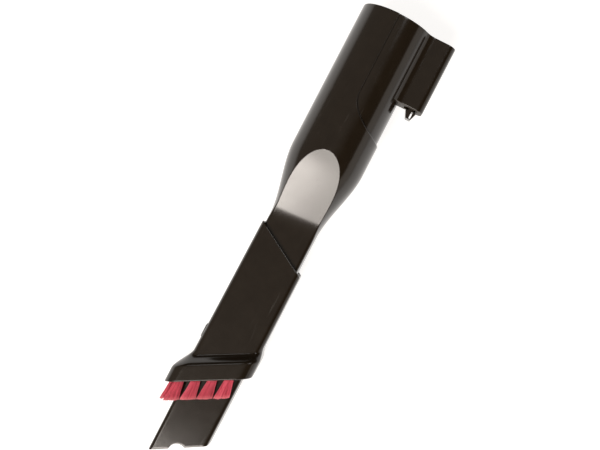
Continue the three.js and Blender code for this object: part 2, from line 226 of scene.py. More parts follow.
def matt_end():
    """The fine matt texture of end faces: the box's lower end, the sleeve's upper rim, the nozzle's tip."""
    n = Nodes(bpy.data.materials.new("matt_black_plastic"))
    at = n.place()
    grain = n.noise(3000.0, 3.0, 0.6, at)
    haze = n.noise(300.0, 4.0, 0.6, at)
    colour = n.mix(n.ramp(haze, 0.3, 0.7), (0.050, 0.044, 0.038, 1), (0.066, 0.058, 0.050, 1))
    rough = n.ramp(haze, 0.3, 0.75, 0.42, 0.55)
    n.set(Base_Color=colour, Roughness=rough, Normal=n.bump(grain, 0.2, 0.00006))
    n.set(IOR=1.5, Specular_IOR_Level=0.12)
    return n.material


def satin_plastic():
    """Fine spark-eroded black plastic."""
    n = Nodes(bpy.data.materials.new("satin_black_plastic"))
    at = n.place()
    grain = n.noise(3800.0, 3.0, 0.6, at)
    haze = n.noise(210.0, 4.0, 0.6, at)
    colour = n.mix(n.ramp(haze, 0.3, 0.7), (0.012, 0.010, 0.008, 1), (0.019, 0.016, 0.013, 1))
    rough = n.ramp(haze, 0.3, 0.75, 0.34, 0.48)
    n.set(Base_Color=colour, Roughness=rough, Normal=n.bump(grain, 0.25, 0.00008), IOR=1.5)
    return n.material


def steel_wire():
    """Drawn spring steel, with fine lines along it and a little tarnish."""
    n = Nodes(bpy.data.materials.new("drawn_steel"))
    at = n.place()
    drawn = n.add("ShaderNodeMapping", {"Vector": at, "Scale": (4000.0, 4000.0, 500.0)})
    lines = n.noise(1.0, 4.0, 0.6, drawn.outputs[0])
    tarnish = n.noise(350.0, 4.0, 0.6, at)
    colour = n.mix(n.ramp(tarnish, 0.35, 0.7), (0.42, 0.41, 0.39, 1), (0.62, 0.61, 0.58, 1))
    rough = n.ramp(lines, 0.3, 0.7, 0.22, 0.42)
    n.set(Base_Color=colour, Roughness=rough, Metallic=1.0, Normal=n.bump(lines, 0.3, 0.00004))
    return n.material


def nylon_bristle():
    """Red-pink crimped filament: each one a little lighter or darker, darkened by painted shade towards the roots,
    paler where it was cut.
    """
    n = Nodes(bpy.data.materials.new("nylon_bristle"))
    at = n.place()
    each = n.add("ShaderNodeNewGeometry").outputs["Random Per Island"]
    along = n.add("ShaderNodeAttribute", attribute_name="along").outputs["Fac"]
    streak = n.noise(900.0, 3.0, 0.6, at)
    colour = n.mix(each, (0.42, 0.030, 0.052, 1), (0.80, 0.095, 0.155, 1))
    # Painted shade: a darker red towards the roots, where the filaments sit packed in the frame under the flare.
    colour = n.mix(n.ramp(along, 0.0, 0.35, 0.75, 0.0), colour, (0.16, 0.010, 0.014, 1))
    colour = n.mix(n.ramp(along, 0.86, 1.0, 0.0, 0.45), colour, (0.92, 0.34, 0.36, 1))
    rough = n.ramp(streak, 0.3, 0.7, 0.42, 0.6)
    n.set(Base_Color=colour, Roughness=rough, Normal=n.bump(streak, 0.2, 0.00003))
    n.set(Sheen_Weight=0.15, IOR=1.5)
    return n.material


GLOSS = gloss_plastic()
SATIN = satin_plastic()
STEEL = steel_wire()
BRISTLE = nylon_bristle()
MATT = matt_end()


# ---- Meshes ----
def smooth_shaded(mesh, sharp):
    """Smooth shading, but for edges over an angle in degrees."""
    mesh.shade_smooth()
    mesh.set_sharp_from_angle(angle=math.radians(sharp))


def smooth_object(name, mesh, material, sharp):
    """A linked object from a mesh, smooth shaded, with one material."""
    smooth_shaded(mesh, sharp)
    mesh.materials.clear()
    mesh.materials.append(material)
    made = bpy.data.objects.new(name, mesh)
    bpy.context.scene.collection.objects.link(made)
    return made


def mesh_of(name, points, faces, merge=0.002):
    """A mesh from tool-frame points, in mm, with coinciding points merged and its faces turned outwards."""
    mesh = bpy.data.meshes.new(name)
    mesh.from_pydata([tuple(p) for p in points], [], faces)
    bm = bmesh.new()
    bm.from_mesh(mesh)
    if merge:
        bmesh.ops.remove_doubles(bm, verts=bm.verts, dist=merge)
        bmesh.ops.dissolve_degenerate(bm, edges=bm.edges, dist=1e-5)
    bmesh.ops.recalc_face_normals(bm, faces=bm.faces)
    bm.transform(PLACE)
    bm.to_mesh(mesh)
    bm.free()
    mesh.update()
    return mesh


def grid_faces(rows, columns, closed_rows=False, closed_columns=False):
    """Quads between the points of a rows x columns grid."""
    faces = []
    for i in range(rows if closed_rows else rows - 1):
        low, high = i * columns, (i + 1) % rows * columns
        for j in range(columns if closed_columns else columns - 1):
            k = (j + 1) % columns
            faces.append((low + j, low + k, high + k, high + j))
    return faces


def bevelled(made, width, segments=3, angle=30.0):
    """Rounds the edges over an angle, with a modifier of a width in mm."""
    bevel = made.modifiers.new("rounded_edges", "BEVEL")
    bevel.width, bevel.segments = width * MM, segments
    bevel.limit_method, bevel.angle_limit = "ANGLE", math.radians(angle)
    bevel.harden_normals = True
    return made


def block_mesh(name, x, s, z):
    """A box between ranges of x, station and z."""
    points = [(px, -ps, pz) for px in x for ps in s for pz in z]
    faces = [(0, 1, 3, 2), (4, 6, 7, 5), (0, 4, 5, 1), (2, 3, 7, 6), (0, 2, 6, 4), (1, 5, 7, 3)]
    return mesh_of(name, points, faces)


def prism_mesh(name, corners, half):
    """A prism along Z over an outline of [x, station] corners."""
    count = len(corners)
    points = [(x, -s, z) for z in (-half, half) for x, s in corners]
    sides = [(i, (i + 1) % count, count + (i + 1) % count, count + i) for i in range(count)]
    return mesh_of(name, points, [tuple(range(count)), tuple(range(count, 2 * count)), *sides])


def cut(made, *tools):
    """Takes the tool meshes away from the object, for good."""
    for tool in tools:
        cutter = bpy.data.objects.new("cutter", tool)
        bpy.context.scene.collection.objects.link(cutter)
        modifier = made.modifiers.new("cut", "BOOLEAN")
        modifier.operation, modifier.solver, modifier.object = "DIFFERENCE", "EXACT", cutter
        bpy.context.view_layer.update()
        graph = bpy.context.evaluated_depsgraph_get()
        result = bpy.data.meshes.new_from_object(made.evaluated_get(graph))
        made.modifiers.clear()
        old, made.data = made.data, result
        bpy.data.meshes.remove(old)
        bpy.data.objects.remove(cutter)
        bpy.data.meshes.remove(tool)
    return made


def finished(made, body, slot, *nodes):
    """Puts a piece on its body, in place of CAD nodes. The slot is not used."""
    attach(made, body)
    if nodes:
        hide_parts(*nodes)
    return made


# ---- Shape of the body ----
def smooth_step(low, high, at):
    """0 up to low and 1 from high, with an S-shaped rise between them."""
    t = np.clip((np.asarray(at, float) - low) / (high - low), 0, 1)
    return t * t * (3 - 2 * t)


def facet_height(s):
    """Height of the facet above the axis: a curve down from the tube that eases into the flat nozzle."""
    s = np.asarray(s, float)
    a = FACET_LENGTH - 2 * FACET_KNEE
    t = (-FACET_KNEE + np.sqrt(FACET_KNEE**2 + a * np.clip(s - FACET_APEX, 0, None))) / a
    curve = (1 - t) ** 2 * TUBE_R + 2 * t * (1 - t) * FACET_KNEE_HEIGHT + t * t * NOZZLE_HALF_DEPTH
    curve = np.where(s > FACET_APEX + FACET_LENGTH + 8, 0.0, curve)
    overlap = np.clip(FACET_EASE - np.abs(curve - NOZZLE_HALF_DEPTH), 0, None) / FACET_EASE
    height = np.maximum(curve, NOZZLE_HALF_DEPTH) + overlap * overlap * FACET_EASE / 4
    return np.where(s <= FACET_APEX, 2 * TUBE_R, height)


def facet_across(s, angle):
    """Facet height at each angle: its foot lies a little nearer the tip on the left than on the right."""
    low = 0.3
    beside = np.abs(np.sin(angle)) < low
    x = facet_height(s) / np.tan(np.where(beside, low, angle))
    x = np.clip(x, -FACET_HALF_WIDTH, FACET_HALF_WIDTH)
    x = np.where(np.sin(angle) < 0, -x, x)
    x = np.where(beside, np.sign(np.cos(angle)) * FACET_HALF_WIDTH, x)
    stretch = 1 + (FACET_STRETCH - FACET_STRETCH_SLANT * x) / FACET_LENGTH
    return facet_height(FACET_APEX + (s - FACET_APEX) / stretch)


def blend_min(a, b, width):
    """The smaller of two values, rounded off where they differ by less than a width."""
    overlap = np.clip(width - np.abs(a - b), 0, None) / width
    return np.minimum(a, b) - overlap * overlap * width / 4


def oval_radius(angle, s, round_r, inset=0.0):
    """Radius of the body without its facets: round, then an oval that flattens into the nozzle's sides."""
    half_width = round_r + (NOZZLE_HALF_WIDTH - round_r) * smooth_step(NECK_FROM, NECK_TO, s) - inset
    half_height = (round_r - inset) * (1 + SIDE_FLATNESS * smooth_step(FLAT_FROM, FLAT_TO, s))
    return 1 / np.hypot(np.cos(angle) / half_width, np.sin(angle) / half_height)


def body_radius(angle, s, inset=0.0):
    """Distance of the body's outline from its axis, drawn in by an inset."""
    round_r = TUBE_R - TUBE_DRAFT * max(1 - s / FACET_APEX, 0)
    oval = oval_radius(angle, s, round_r, inset)
    rise = np.maximum(np.abs(np.sin(angle)), 1e-6)
    flat = (facet_across(s, angle) - min(inset, NOZZLE_HALF_DEPTH - DUCT_HALF_DEPTH)) / rise
    return blend_min(oval, flat, CREASE_BLEND + CORNER_BLEND * float(smooth_step(CORNER_FROM, CORNER_TO, s)))


def crease_angle(s):
    """The angle above +X at which the facet's edge lies."""
    angles = np.linspace(0.2, math.pi / 2, 400)
    apart = oval_radius(angles, s, TUBE_R) - facet_height(s) / np.sin(angles)
    return float(angles[np.argmin(np.abs(apart))])


def seam_distance(angle, s, radius):
    """Distance on the tube's skin from the U-shaped seam, positive outside the tongue."""
    reach = radius * math.pi / 2
    turned = (angle + math.pi) % (2 * math.pi) - math.pi
    a, b = radius * np.abs(turned) / reach, max(s - CUT_STRAIGHT, 0) / CUT_ROUND
    q = np.maximum(np.hypot(a, b), 1e-6)
    slope = np.hypot(a / reach, b / CUT_ROUND) / q
    return (q - 1) / np.maximum(slope, 1e-6)


def rounding(distance, radius):
    """How far a rounded edge lies below its surface at a distance from the edge."""
    inside = np.clip(radius - distance, 0, radius)
    return radius - np.sqrt(radius**2 - inside**2)


def spread_angles(start, end, count, bumps):
    """Angles between start and end, closer together at each (angle, width, weight) bump."""
    fine = np.linspace(start, end, 3000)
    density = np.ones_like(fine)
    for centre, width, weight in bumps:
        density += weight * np.exp(-(((fine - centre) / width) ** 2))
    total = np.concatenate([[0], np.cumsum((density[1:] + density[:-1]) / 2)])
    return np.interp(np.linspace(0, total[-1], count), total, fine)


def seam_opening(s, widen):
    """Half the angle that the U-shaped cut-out takes at a station."""
    depth, quarter_turn = CUT_ROUND + widen, 30.5
    if s >= CUT_STRAIGHT + depth:
        return 0.0
    share = max(s - CUT_STRAIGHT, 0) / depth
    return (math.pi / 2) * (1 + widen / quarter_turn) * math.sqrt(1 - share**2)


def notch_cut(x, reach):
    """How far the notch takes the tip's edge back at x; reach scales it for rows above the edge."""
    edge = NOZZLE_TIP + TIP_SLANT * x
    centre = NOZZLE_TIP + TIP_SLANT * NOTCH_X + NOTCH_RADIUS - NOTCH_DEPTH
    across = np.clip(NOTCH_RADIUS**2 - (x - NOTCH_X) ** 2, 0, None)
    top = centre - np.sqrt(across)
    inside = np.abs(x - NOTCH_X) < NOTCH_RADIUS
    return np.where(inside, np.clip(edge - top, 0, None), 0) * reach


def skin_station(station):
    """The body row whose left side lies at a station: rows slant more and more towards the tip."""
    lead = -TIP_SLANT * NOZZLE_HALF_WIDTH / (NOZZLE_TIP - SLANT_FROM)
    return (station + lead * SLANT_FROM) / (1 + lead)


GROOVE_START, GROOVE_END = skin_station(GROOVE_FROM), skin_station(GROOVE_TO)


def row_angles(s, half_open):
    """Angles of a row's points, closer together at the creases, the seam, the notch and the groove."""
    turn = 2 * math.pi
    apex = float(smooth_step(FACET_APEX - 24, FACET_APEX + 6, s))
    crease = crease_angle(s)
    bumps = [(a, 0.05, 5 * apex) for a in (crease, math.pi - crease, math.pi + crease, turn - crease)]
    near_seam = math.exp(-max(s - CUT_STRAIGHT - CUT_ROUND, 0) / 6)
    bumps += [(half_open, 0.035, 7 * near_seam), (turn - half_open, 0.035, 7 * near_seam)]
    at_notch = float(smooth_step(205, 232, s))
    bumps += [(math.pi / 2 + 0.16, 0.42, 2.5 * at_notch), (1.5 * math.pi - 0.16, 0.42, 2.5 * at_notch)]
    at_groove = float(smooth_step(GROOVE_START - 8, GROOVE_START - 2, s))
    at_groove *= 1 - float(smooth_step(GROOVE_END + 2, GROOVE_END + 8, s))
    lip_angle = math.atan2(GROOVE_HALF, NOZZLE_HALF_WIDTH)
    bumps += [(math.pi + side * lip_angle, 0.02, 8 * at_groove) for side in (-1, 1)]
    angle = spread_angles(half_open, turn - half_open, COLUMNS, bumps)
    if half_open == 0:
        angle[-1] = turn
    return angle


def body_row(s, inset, lip=0.0):
    """One row of the body, from one side of the cut-out round to the other, or all the way round.

    The inset draws the row in as a wall does, and None stands for the bore. The lip rounds the mouth.
    """
    angle = row_angles(s, seam_opening(s, SEAM))
    radius = np.full(COLUMNS, TUBE_BORE) if inset is None else body_radius(angle, s, inset)
    if inset is not None and s < FACET_APEX:
        radius = radius - rounding(seam_distance(angle, s, TUBE_R) - SEAM, LIP)
    radius = radius - lip
    slant = TIP_SLANT * max(s - SLANT_FROM, 0) / (NOZZLE_TIP - SLANT_FROM)
    x, z = radius * np.cos(angle), radius * np.sin(angle)
    if inset == 0 and GROOVE_START < s < GROOVE_END:
        end = min(s - GROOVE_START, GROOVE_END - s)
        floor = -(GROOVE_FLOOR + max(0, GROOVE_END_RAMP - end) * GROOVE_END_SLOPE)
        x = np.where((np.abs(z) < GROOVE_HALF) & (x < floor), floor, x)
    reach = float(np.clip((s - (NOZZLE_TIP - NOTCH_FADE)) / NOTCH_FADE, 0, 1)) ** 1.5
    y = -(s + slant * x - notch_cut(x, reach))
    return np.stack([x, y, z], 1)


def cut_stations():
    """Stations from the mouth to the cut-out's round end, close together where it turns."""
    straight = [0.8, 1.2, 2.0, *np.linspace(5, CUT_STRAIGHT, 10)]
    turns = np.linspace(0, math.pi / 2, 40)[1:]
    return straight + [CUT_STRAIGHT + (CUT_ROUND + SEAM) * math.sin(t) for t in turns]


def skin_stations():
    """Stations from the cut-out's end to the tip."""
    below = [60.66, 60.74, 60.85, 61.0, 61.3, 62, 63, 65, 67, 69, 71, 72.4]
    neck = list(np.arange(FACET_APEX, 122, 0.34))
    shaft = [124, 132, 140, 150, 160, 168]
    shaft += [GROOVE_START + past for past in (-1, -0.3, 0.05, 0.3, 0.55, 2)]
    shaft += [180, 188, 196, 203, 207, 210, 212, 213.5]
    groove_end = [GROOVE_END + past for past in (-2, -0.55, -0.3, -0.05, 0.3, 1)]
    groove_end += [219, 220, 221, 222, 223, 224, 225, 226, 227.5, 229]
    tip = [NOZZLE_TIP - back for back in (9, 7.5, 6, 5, 4, 3.2, 2.4, 1.7, 1.2, 0.9)]
    return below + neck + shaft + groove_end + tip


def make_nozzle_body():
    """The round tube, its neck and facets, and the flat nozzle, as one closed skin."""
    cut_out = cut_stations()
    mouth = edge_arc(MOUTH_EDGE)
    outer = [body_row(s, 0, lip) for s, lip in mouth]
    outer += [body_row(s, 0) for s in cut_out]
    beyond = [body_row(s, 0) for s in skin_stations()]
    end_face = [(-0.12, 0.1), (0, 0.45), (0, WALL - 0.45), (-0.12, WALL - 0.1)]
    beyond += [body_row(NOZZLE_TIP + back, inset) for back, inset in end_face]
    inside = [NOZZLE_TIP - back for back in (0.9, 2.5, 4, 6, 8, 10)]
    inside += [226, 210, 180, 150, *np.arange(121, 66, -2.5)]
    beyond += [body_row(s, WALL) for s in inside]
    beyond.append(body_row(BORE_END, None))
    bore = [body_row(s, None) for s in [s for s, _ in mouth] + cut_out][::-1]
    rows = outer + beyond + bore
    faces = grid_faces(len(rows), COLUMNS, closed_rows=True)
    for i in range(len(outer) - 1):
        j = len(rows) - 1 - i
        for column in (0, COLUMNS - 1):
            corners = (i, i + 1, j - 1, j)
            faces.append(tuple(row * COLUMNS + column for row in corners))
    mesh = mesh_of("nozzle_body_skin", np.concatenate(rows), faces)
    made = smooth_object("nozzle_body_skin", mesh, GLOSS, 50)
    matt_faces(made, (-TIP_SLANT, -1, 0), 0.7, from_s=220)
    return finished(made, "tool", "black_plastic", "nozzle_body")


# ---- Connector collar, with the tongue and the latch box ----
def edge_arc(radius, steps=5):
    """(along, inset) pairs that round an edge, from the end face to the side."""
    turns = np.linspace(0, math.pi / 2, steps)
    return [(radius * (1 - math.cos(t)), radius * (1 - math.sin(t))) for t in turns]


def loft(name, rings, closed=False):
    """A mesh through rings of equal counts: capped at both ends, or closed on itself."""
    count = len(rings[0])
    faces = grid_faces(len(rings), count, closed_rows=closed, closed_columns=True)
    if not closed:
        last = (len(rings) - 1) * count
        faces += [tuple(range(count)), tuple(range(last, last + count))]
    return mesh_of(name, np.concatenate([np.asarray(ring, float) for ring in rings]), faces)


def revolved(name, profile, segments=144):
    """A closed outline of (radius, station) points turned round the tool's axis."""
    turns = np.linspace(0, 2 * math.pi, segments, endpoint=False)
    rings = [[(r * math.cos(t), -s, r * math.sin(t)) for r, s in profile] for t in turns]
    return loft(name, rings, closed=True)


def make_collar_pipe():
    """The inner tube of the connector, with rounded edges at both ends."""
    out, bore, end = TUBE_BORE - 0.06, COLLAR_BORE, COLLAR_LENGTH
    profile = [(out - inset, along) for along, inset in edge_arc(0.45)]
    profile += [(out - inset, end - along) for along, inset in reversed(edge_arc(0.3))]
    profile += [(bore + inset, end - along) for along, inset in edge_arc(0.5)]
    profile += [(bore + inset, along) for along, inset in reversed(edge_arc(0.8))]
    made = smooth_object("collar_pipe", revolved("collar_pipe", profile), GLOSS, 50)
    return finished(made, "tool", "black_plastic", "connector_collar")


def make_tongue():
    """The raised U of the collar, which fills the body's cut-out a little below its skin."""
    columns, deep = 91, COLLAR_R - 0.3
    turns = np.linspace(0, math.pi / 2, 40)[1:]
    stations = [0, 0.04, 0.12, 0.25, 0.4, 0.8, 2.0, *np.linspace(5, CUT_STRAIGHT, 10)]
    stations += [CUT_STRAIGHT + (CUT_ROUND - SEAM) * math.sin(t) for t in turns]
    rows = []
    for s in stations:
        half = seam_opening(s, -SEAM)
        bumps = [(-half, 0.03, 9), (half, 0.03, 9)]
        angle = spread_angles(-half, half, columns, bumps) if half > 0.001 else np.zeros(columns)
        edge = -seam_distance(angle, s, TUBE_R) - SEAM
        radius = TONGUE_R - rounding(edge, 0.15) - float(rounding(s, 0.4))
        angle = np.concatenate([angle, angle[::-1]])
        radius = np.concatenate([radius, np.full(columns, deep)])
        rows.append(np.stack([radius * np.cos(angle), np.full(2 * columns, -s), radius * np.sin(angle)], 1))
    faces = grid_faces(len(rows), 2 * columns, closed_columns=True)
    faces += [(i, i + 1, 2 * columns - 2 - i, 2 * columns - 1 - i) for i in range(columns - 1)]
    mesh = mesh_of("collar_tongue", np.concatenate(rows), faces)
    made = smooth_object("collar_tongue", mesh, GLOSS, 50)
    return finished(made, "tool", "black_plastic", "connector_collar")


def box_outline(inset, low, high):
    """Half of the box's outline across the tool, between two x: its side and its rounded outer corner."""
    half, outer = BOX_HALF - inset, BOX_OUTER - inset
    corner_x, corner_z = outer - BOX_CORNER, half - BOX_CORNER
    side = [(x, half) for x in np.linspace(low, corner_x, 8)[:-1]] if low < corner_x else []
    arc = []
    first = math.acos(np.clip((low - corner_x) / BOX_CORNER, 0, 1))
    last = math.acos(np.clip((high - corner_x) / BOX_CORNER, 0, 1))
    for a in np.linspace(first, last, 16):
        arc.append((corner_x + BOX_CORNER * math.cos(a), corner_z + BOX_CORNER * math.sin(a)))
    return side + arc


def box_section(inset):
    """The box's outline up to the seam: a fillet off the tongue, then its side."""
    centre_z = BOX_HALF - inset + BOX_FILLET
    centre_x = math.sqrt((TONGUE_R + BOX_FILLET) ** 2 - centre_z**2)
    start = math.atan2(centre_z, centre_x)
    upper = [((TONGUE_R - 0.5) * math.cos(start), (TONGUE_R - 0.5) * math.sin(start))]
    for a in np.linspace(start + math.pi, 1.5 * math.pi, 14)[:-1]:
        upper.append((centre_x + BOX_FILLET * math.cos(a), centre_z + BOX_FILLET * math.sin(a)))
    upper += box_outline(inset, centre_x, BOX_SEAM)
    return upper + [(x, -z) for x, z in reversed(upper)]


def box_rings(section, ends, length=BOX_LENGTH):
    """Rings of a section(inset) along the box, rounded at both ends."""
    rings = []
    for along, inset in ends:
        rings.append([(x, -(BOX_TOP + along), z) for x, z in section(inset)])
    # The first and last of these rings, close to the rounded ends, keep the sides' shading flat.
    for s in (0.8, *np.linspace(4, length - 4, 7), length - 0.7):
        rings.append([(x, -s, z) for x, z in section(0)])
    for along, inset in reversed(ends):
        rings.append([(x, -(length - along), z) for x, z in section(inset)])
    return rings


def matt_faces(made, direction, least, from_s=0.0, to_s=300.0):
    """Gives the faces that look in a direction of the tool frame the matt texture, between two stations."""
    made.data.materials.append(MATT)
    towards = TOOL.to_3x3() @ Vector(direction).normalized()
    back = PLACE.inverted()
    for face in made.data.polygons:
        station = -(back @ face.center).y
        if face.normal.dot(towards) > least and from_s < station < to_s:
            face.material_index = 1


def make_latch_box():
    """The box on the tongue, hollowed for the lever, with a window at one end and a slot at the other."""
    rings = box_rings(box_section, edge_arc(0.35))
    mesh = loft("latch_box", rings)
    made = smooth_object("latch_box", mesh, GLOSS, 35)
    across = (-CAVITY_HALF, CAVITY_HALF)
    cavity = block_mesh("cavity", (CAVITY_FLOOR, BOX_SEAM + 1), (CAVITY_FROM, CAVITY_TO), across)
    window = block_mesh("window", (CAVITY_FLOOR, 27), (-1, CAVITY_FROM + 1), (-4.6, 4.6))
    slot = block_mesh("slot", (22.2, 28.4), (CAVITY_TO - 1, BOX_LENGTH + 1), (-3.6, 3.6))
    spring_seat = block_mesh("spring_seat", (18.0, CAVITY_FLOOR + 0.5), (26.4, 33.6), (-3.3, 3.3))
    cut(made, cavity, window, slot, spring_seat)
    smooth_shaded(made.data, 35)
    matt_faces(made, (0, -1, 0), 0.98)
    return finished(made, "tool", "black_plastic", "connector_collar")


def cover_section(inset):
    """The cover's outline, which carries on the box's rounded corner beyond the seam."""
    groove, outer = 0.1, BOX_OUTER - inset
    beyond = box_outline(inset, BOX_SEAM + groove, outer)
    across = [(outer, z) for z in np.linspace(beyond[-1][1], 0, 5)[1:]]
    upper = [(BOX_SEAM, beyond[0][1] - groove), *beyond, *across]
    return upper + [(x, -z) for x, z in reversed(upper[:-1])]


def make_latch_cover():
    """The lid on the outer side of the latch box."""
    mesh = loft("latch_lid", box_rings(cover_section, edge_arc(0.45, 6)))
    made = smooth_object("latch_lid", mesh, GLOSS, 35)
    matt_faces(made, (0, -1, 0), 0.98)
    return finished(made, "tool", "black_plastic", "latch_cover")


def make_latch_lever():
    """The hooked bar, with a forked thumb tail that shows below the box."""
    shoulder, tail = BOX_LENGTH + 1.0, 41.7
    outline = [(27.4, 9), (21.2, 9), (21.8, 11), (24.8, 13.5), (24.8, 18.5), (23.8, 22), (24.8, 25.5)]
    outline += [(24.8, shoulder - 0.1), (23.4, shoulder), (25.2, tail), (27.9, tail), (29.3, shoulder)]
    outline += [(27.4, shoulder - 0.1), (27.4, 25.5), (28.4, 22), (27.4, 18.5)]
    made = smooth_object("latch_bar", prism_mesh("latch_bar", outline, 3.2), GLOSS, 30)
    fork = block_mesh("fork", (26.7, 27.5), (shoulder + 0.2, tail - 0.5), (-5, 5))
    cut(made, fork)
    smooth_shaded(made.data, 30)
    bevelled(made, 0.28)
    return finished(made, "latch", "black_plastic", "latch_lever")


# ---- Brush sleeve ----
def rounded_rectangle(left, right, half, corner, across=22, deep=8, turn=10):
    """Points round a rectangle with rounded corners, as (x, z), with its sides divided."""
    centres = [(right - corner, half - corner), (left + corner, half - corner)]
    centres += [(left + corner, corner - half), (right - corner, corner - half)]
    arcs = []
    for quarter, (x, z) in enumerate(centres):
        turns = np.linspace(quarter, quarter + 1, turn + 1) * math.pi / 2
        arcs.append([(x + corner * math.cos(a), z + corner * math.sin(a)) for a in turns])
    points = []
    for quarter, arc in enumerate(arcs):
        points += arc
        steps = across if quarter % 2 == 0 else deep
        side = np.linspace(arc[-1], arcs[(quarter + 1) % 4][0], steps + 1)[1:-1]
        points += [tuple(p) for p in side]
    return points


def slanted(points, centre, slant):
    """Section points set on a slanted plane through a centre station."""
    return [(x, -(centre + slant * x), z) for x, z in points]


def sleeve_slant(centre):
    """The sleeve's slant at a station, which turns from its upper rim's to its flare's."""
    return SLEEVE_TOP_SLANT + (BRUSH_SLANT - SLEEVE_TOP_SLANT) * float(smooth_step(SLEEVE_TOP, 172, centre))


def sleeve_outside(centre, inset=0.0):
    """The sleeve's outline: a little wider down its length, then flared round the brush."""
    flared = float(smooth_step(FLARE_FROM, FLARE_TO, centre))
    raised = float(smooth_step(FLARE_FRONT_FROM, FLARE_FRONT_TO, centre))
    wide = SLEEVE_TAPER * float(np.clip((centre - SLEEVE_TOP) / (FLARE_FROM - SLEEVE_TOP), 0, 1))
    left = -(SLEEVE_HALF_WIDTH - SLEEVE_TAPER + wide)
    right = SLEEVE_HALF_WIDTH
    left += (FLARE_LEFT - left) * flared
    right += (FLARE_RIGHT - right) * flared
    half = SLEEVE_HALF_DEPTH + (FLARE_HALF_DEPTH - SLEEVE_HALF_DEPTH) * raised
    corner = SLEEVE_CORNER + (FLARE_CORNER - SLEEVE_CORNER) * flared
    return rounded_rectangle(left + inset, right - inset, half - inset, corner - inset * 0.5)


def make_sleeve():
    """The sliding sleeve: outside, flare, pocket for the bristle frame and bore, as one closed skin."""
    rim = 0.6
    inner_width, inner_depth = NOZZLE_HALF_WIDTH + SLEEVE_GAP, NOZZLE_HALF_DEPTH + SLEEVE_GAP
    rings = []

    def outer(centre, inset=0.0, back=0.0):
        rings.append(slanted(sleeve_outside(centre, inset), centre + back, sleeve_slant(centre)))

    def bore(centre, inset=0.0, slant=None):
        section = rounded_rectangle(-inner_width - inset, inner_width + inset, inner_depth + inset, 1.0)
        rings.append(slanted(section, centre, sleeve_slant(centre) if slant is None else slant))

    def pocket(centre, inset=0.0):
        left, right = FLARE_LEFT + POCKET_WALL, inner_width
        section = rounded_rectangle(left - inset, right + inset, FLARE_HALF_DEPTH - POCKET_WALL + inset, 5.0)
        rings.append(slanted(section, centre, BRUSH_SLANT))

    for along, inset in edge_arc(rim, 4):
        outer(SLEEVE_TOP, inset, along)
    for centre in [*np.linspace(SLEEVE_TOP + 1, FLARE_FROM - 1, 20), *np.linspace(FLARE_FROM, FLARE_TO, 42)]:
        outer(centre)
    for centre in (195, 197, 199, SLEEVE_END - rim - 0.1):
        outer(centre)
    for along, inset in reversed(edge_arc(rim, 4)):
        outer(SLEEVE_END - along, inset)
    for along, inset in edge_arc(0.25, 3):
        pocket(SLEEVE_END - along, inset)
    pocket(197)
    pocket(POCKET_FROM)
    bore(POCKET_FROM)
    for centre in np.linspace(POCKET_FROM - 4, SLEEVE_TOP + 2, 12):
        bore(centre)
    for along, inset in reversed(edge_arc(0.3, 3)):
        bore(SLEEVE_TOP + along, inset, SLEEVE_TOP_SLANT)
    made = smooth_object("sleeve_shell", loft("sleeve_shell", rings, closed=True), GLOSS, 42)
    gap = 0.12
    tall, wide = (BUTTON_FROM - gap, BUTTON_TO + gap), (-BUTTON_HALF - gap, BUTTON_HALF + gap)
    cut(made, block_mesh("button_slot", (-17.5, -12.6), tall, wide))
    smooth_shaded(made.data, 42)
    matt_faces(made, (SLEEVE_TOP_SLANT, 1, 0), 0.9, to_s=150)
    return finished(made, "sleeve", "black_plastic", "brush_sleeve")


def make_button():
    """A thumb pad with a crowned, ridged face and rounded edges, on a thin flange."""
    length, rows, columns = BUTTON_TO - BUTTON_FROM, 81, 33
    ridges, ridge_height, ridges_from, ridges_length = 6, 0.16, 0.14, 0.72
    round_edge, edge_drop, crown_height, face_below, base = 0.55, 1.6, 0.25, 0.42, 13.7
    points = []
    for i in range(rows):
        for j in range(columns):
            along, across = i / (rows - 1), 2 * j / (columns - 1) - 1
            to_end = min(along, 1 - along) * length
            to_side = (1 - abs(across)) * BUTTON_HALF
            drop = float(rounding(min(to_end, to_side), round_edge)) * edge_drop
            ridged = np.clip((along - ridges_from) / ridges_length, 0, 1)
            wave = 0.5 - 0.5 * math.cos(2 * math.pi * ridges * ridged)
            fade = float(smooth_step(0.3, 1.0, to_side)) * float(smooth_step(0.6, 1.2, to_end))
            crown = crown_height * (1 - across**2)
            out = BUTTON_PROUD - face_below - drop + crown + ridge_height * wave * fade
            points.append((-out, -(BUTTON_FROM + along * length), across * BUTTON_HALF))
    faces = grid_faces(rows, columns)
    rim = [*range(columns), *range(2 * columns - 1, rows * columns, columns)]
    rim += [*range(rows * columns - 2, (rows - 1) * columns - 1, -1)]
    rim += [*range((rows - 2) * columns, 0, -columns)]
    below = len(points)
    points += [(-base, points[k][1], points[k][2]) for k in rim]
    count = len(rim)
    faces += [(rim[k], rim[(k + 1) % count], below + (k + 1) % count, below + k) for k in range(count)]
    faces.append(tuple(range(below, below + count)))
    made = smooth_object("thumb_pad", mesh_of("thumb_pad", points, faces), SATIN, 50)
    return finished(made, "button", "satin_plastic", "slide_button")


# ---- Brush ----
FRAME_TOP, FRAME_BOTTOM, FRAME_LEFT, FRAME_RIGHT = 194.6, 199.9, -19.75, 13.45
FRAME_HALF, FRAME_INNER_LEFT, FRAME_CORNER = 14.1, -14.15, 4.3
HOLE_RADIUS, HOLE_BOTTOM = 1.85, 195.8
TUFT_PITCH, TUFT_Z, SIDE_X, SIDE_PITCH = 7.2, 11.95, -17.3, 8.4


def tuft_places():
    """Name, x and z of every tuft."""
    places = []
    for row, side in (("front", 1), ("rear", -1)):
        places += [(f"{row}_{i + 1}", TUFT_PITCH * (1 - i), side * TUFT_Z) for i in range(4)]
    return places + [(f"side_{i + 1}", SIDE_X, side * SIDE_PITCH / 2) for i, side in enumerate((1, -1))]


